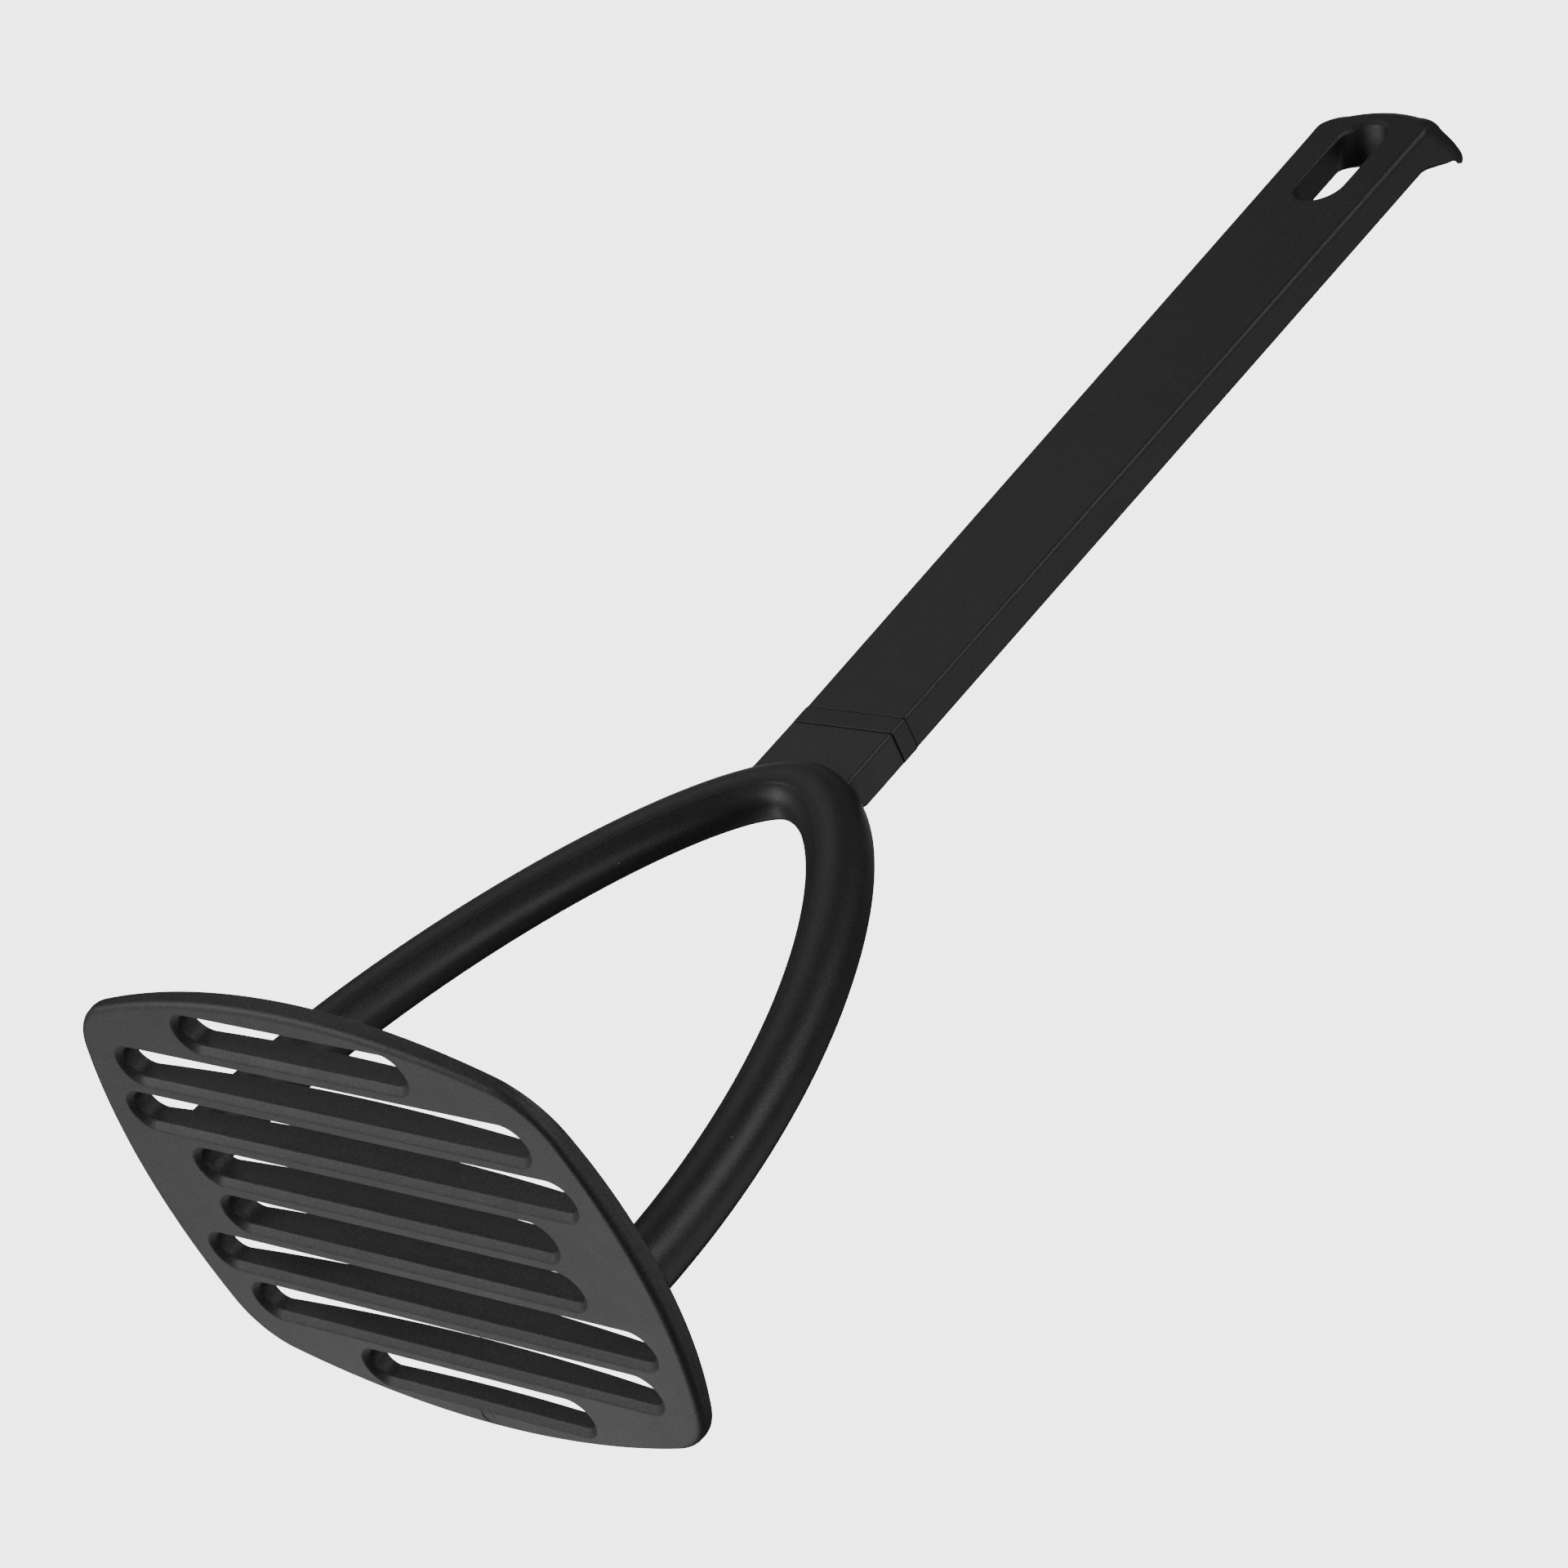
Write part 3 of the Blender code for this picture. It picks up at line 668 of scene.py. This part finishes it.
def bar_section(half_front, half_back, front, back, radius, z, steps=6):
    """A rounded four-sided ring at one height. Front and back may have different widths."""
    radius = max(min(radius, half_front * 0.98, half_back * 0.98, (back - front) * 0.49), 0.01)
    corners = ((half_back, back, 0), (-half_back, back, 1), (-half_front, front, 2), (half_front, front, 3))
    ring = []
    for x, y, turn in corners:
        cx = x - math.copysign(radius, x)
        cy = y - radius if turn < 2 else y + radius
        for step in range(steps + 1):
            angle = (turn + step / steps) * math.pi / 2
            ring.append((cx + radius * math.cos(angle), cy + radius * math.sin(angle), z))
    return ring


def trimmed_bar(name, half, depth, radius, low, high, flare=0.0, chamfer=0.0, tuck=0.0):
    """An upright bar with small end chamfers. Its base can flare sideways and tuck in at the back."""
    made = []
    for z in [low + ROOT_HEIGHT * share / 8 for share in range(9)] + [high - 0.35, high - chamfer, high]:
        share = max(0.0, 1 - (z - low) / ROOT_HEIGHT)
        trim = chamfer if z == high else 0.0
        width = half + flare * share ** 2 - trim
        back = BAR_Y + depth / 2 - trim - tuck * share ** 1.5
        made.append(bar_section(width, width, BAR_Y - depth / 2 + trim, back, radius, z))
    return loft(name, made)


crown_rows = []
for share in np.linspace(0, 1.3, 30):
    crown_rows.append([(PLATE_HALF_X * share * math.cos(t), PLATE_HALF_Y * share * math.sin(t),
                        RIM_HEIGHT - FOOT_SINK + CROWN_RISE * (1 - share ** 2))
                       for t in np.linspace(0, 2 * math.pi, 97)[:-1]])
crown_rows[0] = [(x * 0.02 / 1.3, y * 0.02 / 1.3, RIM_HEIGHT - FOOT_SINK + CROWN_RISE)
                 for x, y, z in crown_rows[-1]]
crown_rows.append([(x, y, -12.0) for x, y, z in crown_rows[-1]])
foot_cut = loft("foot_cut", crown_rows)
yoke = combine(yoke, foot_cut, "DIFFERENCE")

neck = trimmed_bar("neck", NECK_WIDTH / 2, NECK_DEPTH, 0.55, NECK_BOTTOM, NECK_TOP - SEAM / 2,
                   NECK_FLARE, SEAM_EDGE, NECK_TUCK)
yoke = combine(yoke, neck, "UNION")
core = trimmed_bar("core", NECK_WIDTH / 2 - CORE_INSET, NECK_DEPTH - 2 * CORE_INSET, 0.4,
                   CORE_BOTTOM, CORE_TOP)
yoke = combine(yoke, core, "UNION")
yoke = finish(yoke, yoke_nylon, angle=35)
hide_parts("yoke")
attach(yoke, "root")

# %% [markdown]
# ## The collar
#
# The collar is the narrow band between two hairline seams. It stands a few hundredths of a millimetre
# proud of the neck. Its ends have tiny chamfers, which is what makes the seams read as dark lines.

# %% Make the collar
COLLAR_PROUD = 0.04

collar_low = NECK_TOP + SEAM / 2
collar_high = NECK_TOP + COLLAR_HEIGHT - SEAM / 2
collar_rings = []
for z, trim in ((collar_low, SEAM_EDGE), (collar_low + SEAM_EDGE, 0.0),
                (collar_high - SEAM_EDGE, 0.0), (collar_high, SEAM_EDGE)):
    half = NECK_WIDTH / 2 + COLLAR_PROUD - trim
    depth = NECK_DEPTH / 2 + COLLAR_PROUD - trim
    collar_rings.append(bar_section(half, half, BAR_Y - depth, BAR_Y + depth, 0.6, z))
collar = loft("masher_collar", collar_rings)
bore = trimmed_bar("bore", NECK_WIDTH / 2 - CORE_INSET + 0.05, NECK_DEPTH - 2 * CORE_INSET + 0.1, 0.4,
                   CORE_BOTTOM, CORE_TOP + 0.05)
collar = combine(collar, bore, "DIFFERENCE", keep=True)
collar = finish(collar, handle_nylon)
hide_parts("joint_collar")
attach(collar, "root")

# %% [markdown]
# ## The handle
#
# The handle is a long flat bar. It widens and thins slowly from the collar to its end, and its edges grow
# softer on the way. At the end the corners are round, the front face rolls over into a nose, and the back
# swells out into a hook lip that rests on the rim of a pan. All of this shows in the side view, so the
# handle is a stack of side views set next to each other across its width. Towards both flanks the side
# view shrinks a little, which rounds the long edges, and its top sinks, which rounds the end's corners.

# %% Handle rules
HANDLE_TOP = 274.0
HANDLE_WIDTH_LOW = 19.4
HANDLE_WIDTH_TOP = 22.8
HANDLE_DEPTH_TOP = 5.9
FRONT_CORNER = 4.4
FRONT_DOME = 1.3
BACK_CORNER = 2.4
BACK_DOME = 0.3
CORNER_FADE = 11.0
CORNER_FULL = 4.0
EDGE_ROUND_LOW = 0.55
EDGE_ROUND_TOP = 1.1
NOSE_RADIUS = 3.4
NOSE_DROP = 1.6
LIP_BACK_Y = 10.8
LIP_ROOT_Z = 261.4
LIP_TIP_DROP = 2.2
LIP_TIP_RADIUS = 1.5
LIP_SWEEP_POWER = 1.15
HANDLE_LOW = NECK_TOP + COLLAR_HEIGHT + SEAM / 2


def handle_share(z):
    return (z - HANDLE_LOW) / (HANDLE_TOP - HANDLE_LOW)


def handle_half(z):
    return (HANDLE_WIDTH_LOW + (HANDLE_WIDTH_TOP - HANDLE_WIDTH_LOW) * handle_share(z)) / 2


def bar_faces(z):
    """The y of the bar's front and back face at a height."""
    middle = BAR_Y - BAR_LEAN * handle_share(z)
    half = (NECK_DEPTH + (HANDLE_DEPTH_TOP - NECK_DEPTH) * handle_share(z)) / 2
    return middle - half, middle + half


def side_view():
    """The handle seen from the side as (y, z) points: up the front, over the end, down the back."""
    nose_z = HANDLE_TOP - NOSE_DROP - NOSE_RADIUS
    nose_y = bar_faces(nose_z)[0]
    climb = [HANDLE_LOW, HANDLE_LOW + SEAM_EDGE] + list(np.linspace(HANDLE_LOW + 1.0, nose_z - 0.5, 40))
    points = [(bar_faces(z)[0], z) for z in climb]
    for angle in np.linspace(0, math.pi / 2, 13):
        points.append((nose_y + NOSE_RADIUS * (1 - math.cos(angle)), nose_z + NOSE_RADIUS * math.sin(angle)))
    tip_y = LIP_BACK_Y - LIP_TIP_RADIUS
    for share in np.linspace(0.12, 0.9, 7):
        start_y = nose_y + NOSE_RADIUS
        points.append((start_y + (tip_y - start_y) * share, HANDLE_TOP - NOSE_DROP * (1 - share) ** 1.5))
    for angle in np.linspace(0, math.pi, 13):
        points.append((tip_y + LIP_TIP_RADIUS * math.sin(angle),
                       HANDLE_TOP - LIP_TIP_DROP / 2 + LIP_TIP_DROP / 2 * math.cos(angle)))
    back_y = bar_faces(LIP_ROOT_Z)[1]
    sweep_z = HANDLE_TOP - LIP_TIP_DROP - LIP_ROOT_Z
    for share in np.linspace(0.93, 0.0, 14):
        points.append((back_y + (tip_y - back_y) * share ** LIP_SWEEP_POWER, LIP_ROOT_Z + sweep_z * share))
    for z in [z for z in reversed(climb) if z < LIP_ROOT_Z - 1.0]:
        points.append((bar_faces(z)[1], z))
    return points


def inward(points):
    """Unit directions that point into the side view. The bottom edge is left where it is."""
    found = []
    for i, (y, z) in enumerate(points):
        before = points[i - 1]
        after = points[(i + 1) % len(points)]
        along = Vector((after[0] - before[0], after[1] - before[1])).normalized()
        found.append((along[1], -along[0]))
    found[0] = found[1] = (1.0, 0.0)
    found[-1] = found[-2] = (-1.0, 0.0)
    return found


def corner_sink(x, half, corner, dome):
    """How far the end has sunk at a distance from the middle."""
    flat = half - corner
    if abs(x) <= flat:
        return dome * (x / flat) ** 2
    return dome + corner - math.sqrt(max(corner ** 2 - (abs(x) - flat) ** 2, 0.0))


def handle_ring(share, turn):
    """The side view at a share of the half width. turn runs from 0 to 1 round the flank's edge."""
    ring = []
    for (y, z), (in_y, in_z) in zip(profile_points, profile_inward):
        round_here = EDGE_ROUND_LOW + (EDGE_ROUND_TOP - EDGE_ROUND_LOW) * handle_share(z)
        half = handle_half(z)
        x = share * (half - round_here) + math.copysign(round_here * math.sin(turn * math.pi / 2), share)
        x = share * (half - round_here) if turn == 0 else x
        inset = round_here * (1 - math.cos(turn * math.pi / 2))
        near_end = min(max((z - HANDLE_TOP + CORNER_FADE) / (CORNER_FADE - CORNER_FULL), 0.0), 1.0)
        depth = min(max((y - bar_faces(z)[0]) / (LIP_BACK_Y - bar_faces(z)[0]), 0.0), 1.0)
        front_sink = corner_sink(x, half, FRONT_CORNER, FRONT_DOME)
        back_sink = corner_sink(x, half, BACK_CORNER, BACK_DOME)
        sink = (front_sink + (back_sink - front_sink) * depth) * near_end
        ring.append((x, y + in_y * inset, z + in_z * inset - sink))
    return ring


profile_points = side_view()
profile_inward = inward(profile_points)
left_flank = [(-1.0, turn) for turn in np.linspace(1.0, 0.12, 8)]
across = [(share, 0.0) for share in np.sin(np.linspace(-1, 1, 33) * math.pi / 2)]
right_flank = [(1.0, turn) for turn in np.linspace(0.12, 1.0, 8)]
handle_rings = [handle_ring(share, turn) for share, turn in left_flank + across + right_flank]
handle = loft("masher_handle", handle_rings)
split_big_faces(handle.data)
print("side view points:", len(profile_points), "side views:", len(handle_rings))

# %% [markdown]
# The hanging slot goes right through, with a small rounded rim on the front. Its cutter is a loft of slot
# outlines. The mould's draft makes the slot a little wider towards the back, and its upper end wall leans
# down, so that a hook finds its seat.

# %% Cut the hanging slot and the socket for the core
HANG_WIDTH = 8.8
HANG_LOW = 245.2
HANG_HIGH = 267.2
HANG_RIM = 0.6
HANG_SPREAD = 1.5
HANG_SEAT = 3.4
HANG_SEAT_LOW_SHARE = 0.6
HANG_OVERCUT = 0.25
hang_middle = (HANG_LOW + HANG_HIGH) / 2
hang_front = bar_faces(hang_middle)[0]
hang_back = bar_faces(hang_middle)[1]


def hang_ring(grow, y):
    """The slot's outline at one depth: two round ends, one above the other."""
    depth = min(max((y - hang_front) / (hang_back - hang_front), 0.0), 1.0)
    radius = HANG_WIDTH / 2 + grow + HANG_SPREAD * depth
    top = HANG_HIGH - HANG_SEAT * depth + grow
    bottom = HANG_LOW + HANG_SEAT * depth * HANG_SEAT_LOW_SHARE - grow
    round_end = radius * (1 - 0.5 * depth)
    ring = []
    for side, end in ((1, top), (-1, bottom)):
        for angle in np.linspace(0, math.pi, 33):
            ring.append((side * radius * math.cos(angle), y, end + side * round_end * (math.sin(angle) - 1)))
    return ring


hang_rings = [hang_ring(HANG_RIM + 0.3, hang_front - 3.0),
              hang_ring(HANG_RIM + 0.1, hang_front - HANG_OVERCUT)]
for angle in np.linspace(0.12, math.pi / 2, 9):
    hang_rings.append(hang_ring(HANG_RIM * (1 - math.sin(angle)),
                                hang_front + HANG_RIM * (1 - math.cos(angle))))
hang_rings.append(hang_ring(0.0, hang_back))
hang_rings.append(hang_ring(0.4, hang_back + 0.4))
hang_rings.append(hang_ring(0.6, 25.0))
handle = combine(handle, loft("hang_cut", hang_rings), "DIFFERENCE")
handle = combine(handle, bore, "DIFFERENCE")
handle = finish(handle, handle_nylon)
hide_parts("handle")
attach(handle, "root")

# %% [markdown]
# ## Floor, backdrop and light
#
# The camera looks up at the working face from below the floor's level, so an ordinary floor would hide
# the masher. This floor is one-sided: seen from above it is pale and solid, and seen from below it lets
# the view through. It takes no part in lighting the object. The backdrop is a plain white dome.


# %% Floor and backdrop
def plain_material(name, colour, strength=0.0):
    mat = bpy.data.materials.new(name)
    mat.use_nodes = True
    shader = mat.node_tree.nodes["Principled BSDF"]
    shader.inputs["Base Color"].default_value = (*colour, 1.0)
    shader.inputs["Roughness"].default_value = 0.9
    shader.inputs["Emission Color"].default_value = (*colour, 1.0)
    shader.inputs["Emission Strength"].default_value = strength
    return mat


def only_seen_directly(obj):
    """The object shows in the picture but neither lights nor shades the masher."""
    obj.visible_diffuse = False
    obj.visible_glossy = False
    obj.visible_transmission = False
    obj.visible_shadow = False


floor_mat = plain_material("floor_paper", (0.82, 0.82, 0.82))
floor_tree = floor_mat.node_tree
side = floor_tree.nodes.new("ShaderNodeNewGeometry").outputs["Backfacing"]
clear = floor_tree.nodes.new("ShaderNodeBsdfTransparent")
mixed = floor_tree.nodes.new("ShaderNodeMixShader")
floor_tree.links.new(side, mixed.inputs[0])
floor_tree.links.new(floor_tree.nodes["Principled BSDF"].outputs[0], mixed.inputs[1])
floor_tree.links.new(clear.outputs[0], mixed.inputs[2])
floor_tree.links.new(mixed.outputs[0], floor_tree.nodes["Material Output"].inputs["Surface"])
bpy.ops.mesh.primitive_circle_add(vertices=96, radius=0.9, fill_type="NGON", location=(0, 0, -0.0004))
floor = bpy.context.object
floor.name = "floor"
floor.data.materials.append(floor_mat)
only_seen_directly(floor)

bpy.ops.mesh.primitive_uv_sphere_add(segments=64, ring_count=32, radius=4.0, location=(0, 0, 0.1))
dome = bpy.context.object
dome.name = "backdrop"
dome.data.materials.append(plain_material("backdrop_white", (1.0, 1.0, 1.0), 4.0))
only_seen_directly(dome)
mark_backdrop(floor, dome)

# %% [markdown]
# The light is soft and comes from eight square panels round the masher. Black nylon shows little but
# sheen, so each panel is placed to be mirrored by the part it is named for. Its power sets how light that
# part looks. The near panel stands closest and lifts the near corner of the working face.

# %% World and lamps
WORLD_STRENGTH = 0.05

world = bpy.data.worlds.new("studio")
bpy.context.scene.world = world
world.use_nodes = True
world.node_tree.nodes["Background"].inputs["Color"].default_value = (1.0, 1.0, 1.0, 1.0)
world.node_tree.nodes["Background"].inputs["Strength"].default_value = WORLD_STRENGTH
CENTRE = Vector((0.0, 0.0, 0.10))


def panel(name, towards, distance, size, power):
    """A square soft light that stands off in one direction and faces the masher."""
    data = bpy.data.lights.new(name, "AREA")
    data.shape = "SQUARE"
    data.size = size
    data.energy = power
    lamp = link(bpy.data.objects.new(name, data))
    direction = Vector(towards).normalized()
    lamp.location = CENTRE + direction * distance
    lamp.visible_camera = False
    lamp.rotation_mode = "QUATERNION"
    lamp.rotation_quaternion = direction.to_track_quat("Z", "Y")
    return lamp


panel("face_panel", (-0.67, -0.53, -0.53), 1.2, 0.8, 7.2)
panel("plate_panel", (-0.66, 0.25, -0.70), 1.2, 0.8, 2.2)
panel("near_panel", (-0.45, 0.70, -0.60), 0.6, 0.4, 0.6)
panel("handle_panel", (-0.62, -0.62, 0.46), 1.2, 0.6, 0.9)
panel("front_panel", (0.50, -0.66, 0.54), 1.2, 0.6, 4.5)
panel("flank_panel", (0.75, 0.48, 0.45), 1.2, 0.8, 1.8)
panel("leg_panel", (0.92, -0.30, -0.25), 1.2, 0.8, 4.5)
panel("crown_panel", (-0.60, 0.30, 0.74), 1.2, 0.8, 1.2)

# %% [markdown]
# ## Camera
#
# The camera stands to the right, in front and below, nearly three quarters of a metre from the point it
# aims at. It has a long lens, so the far end of the handle stays almost as large as the near one. It is
# placed and aimed first and then rolled, which lays the masher across the picture.

# %% Camera
CAMERA_PLACE = Vector((486.38, -383.83, -293.07))
CAMERA_AIM = Vector((0.45, -0.05, 95.44))
CAMERA_ROLL = 41.85
LENS = 115.24

camera_data = bpy.data.cameras.new("camera")
camera_data.lens = LENS
camera_data.sensor_width = 36.0
camera_data.clip_start = 0.01
camera_data.clip_end = 50.0
camera = link(bpy.data.objects.new("camera", camera_data))
camera.location = CAMERA_PLACE * MM
camera.rotation_mode = "QUATERNION"
view = (CAMERA_AIM - CAMERA_PLACE).to_track_quat("-Z", "Y")
camera.rotation_quaternion = view @ Quaternion((0.0, 0.0, 1.0), math.radians(CAMERA_ROLL))
bpy.context.scene.camera = camera
print("camera at", [round(v, 3) for v in camera.location])

# %% [markdown]
# ## The size
#
# The finished pieces must stay inside the CAD frame's own box. Both boxes are printed one after the other.

# %% Print the two boxes and finish
own_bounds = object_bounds()
sizes = [[list(corner) for corner in bounds] for bounds in (cad_bounds, own_bounds)]
for label, bounds in zip(("frame", "pieces"), sizes):
    print(label, [[round(v * 1000, 2) for v in corner] for corner in bounds])
